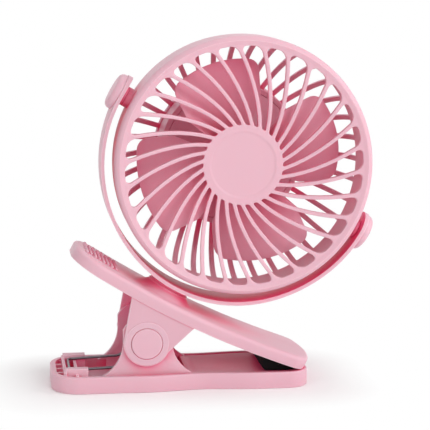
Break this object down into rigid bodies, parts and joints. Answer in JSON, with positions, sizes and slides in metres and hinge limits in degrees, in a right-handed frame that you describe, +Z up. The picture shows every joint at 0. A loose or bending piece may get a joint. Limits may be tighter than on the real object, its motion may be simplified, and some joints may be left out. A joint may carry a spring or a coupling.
{
  "type": "clip fan",
  "caption": "Round caged fan in a half-round yoke that swivels and tilts on a spring clip with a rubber jaw pad.",
  "frame": {"origin": "centre of the underside of the clip's base", "axes": "+Z up, +X along the clip from its grip to its jaw tip, -Y the way the fan faces at rest"},
  "size_m": [0.183, 0.0982, 0.1952],
  "materials": {
    "pink_plastic": "fine satin moulded surface",
    "pink_knob": "fine satin moulded surface",
    "black_rubber": "dull",
    "dark_plastic": "dull",
    "spring_steel": "bright drawn wire",
    "steel": "turned",
    "bronze": "plain",
    "nickel": "plain",
    "cell_wrap": "shrink sleeve",
    "board_green": "solder mask",
    "clear_light": "translucent",
    "wire_red": "insulation"
  },
  "bodies": {
    "clip_base": {"lower_jaw": "pink_plastic", "torsion_spring": "spring_steel"},
    "clip_lever": {"upper_jaw": "pink_plastic", "jaw_pad": "black_rubber", "pivot_pin": "steel", "pivot_cap_front": "pink_knob", "pivot_cap_rear": "pink_knob", "swivel_collar": "pink_plastic"},
    "yoke_arm": {"yoke": "pink_plastic", "trunnion_cap_left": "pink_knob", "trunnion_cap_right": "pink_knob", "swivel_washer": "steel", "swivel_screw": "steel"},
    "head": {"front_grille": "pink_plastic", "rear_shell": "pink_plastic", "rear_cover": "pink_plastic", "cover_screws": "steel", "motor_bracket": "pink_plastic", "motor_can": "steel", "motor_end_cap": "dark_plastic", "motor_bush": "bronze", "battery_cell": "cell_wrap", "battery_contacts": "nickel", "battery_leads": "wire_red", "motor_leads": "wire_red", "circuit_board": "board_green", "charge_light": "clear_light", "charge_socket": "steel", "trunnion_washer_left": "dark_plastic", "trunnion_washer_right": "dark_plastic", "trunnion_pins": "steel"},
    "fan_rotor": {"impeller": "pink_plastic", "motor_shaft": "steel"},
    "button": {"speed_button": "pink_knob"}
  },
  "joints": [
    {"name": "jaw_hinge", "type": "hinge", "parent": "clip_base", "child": "clip_lever", "pos_m": [-0.0197, 0, 0.0268], "axis": [0, -1, 0], "range_deg": [0, 28], "stiffness_Nm_per_rad": 1, "springref_deg": -45.84, "deforming": ["torsion_spring"]},
    {"name": "yoke_swivel", "type": "hinge", "parent": "clip_lever", "child": "yoke_arm", "pos_m": [0.0353, 0, 0.12339], "axis": [0.5045, 0, 0.8634], "continuous": true},
    {"name": "head_tilt", "type": "hinge", "parent": "yoke_arm", "child": "head", "pos_m": [0.0353, 0, 0.12339], "axis": [0.8634, 0, -0.5045], "continuous": true},
    {"name": "fan_spin", "type": "hinge", "parent": "head", "child": "fan_rotor", "pos_m": [0.0353, 0, 0.12339], "axis": [0, -1, 0], "continuous": true},
    {"name": "button_press", "type": "slide", "parent": "head", "child": "button", "axis": [0, -1, 0], "range_m": [0, 0.0008], "stiffness_N_per_m": 900, "springref_m": -0.0009}
  ]
}
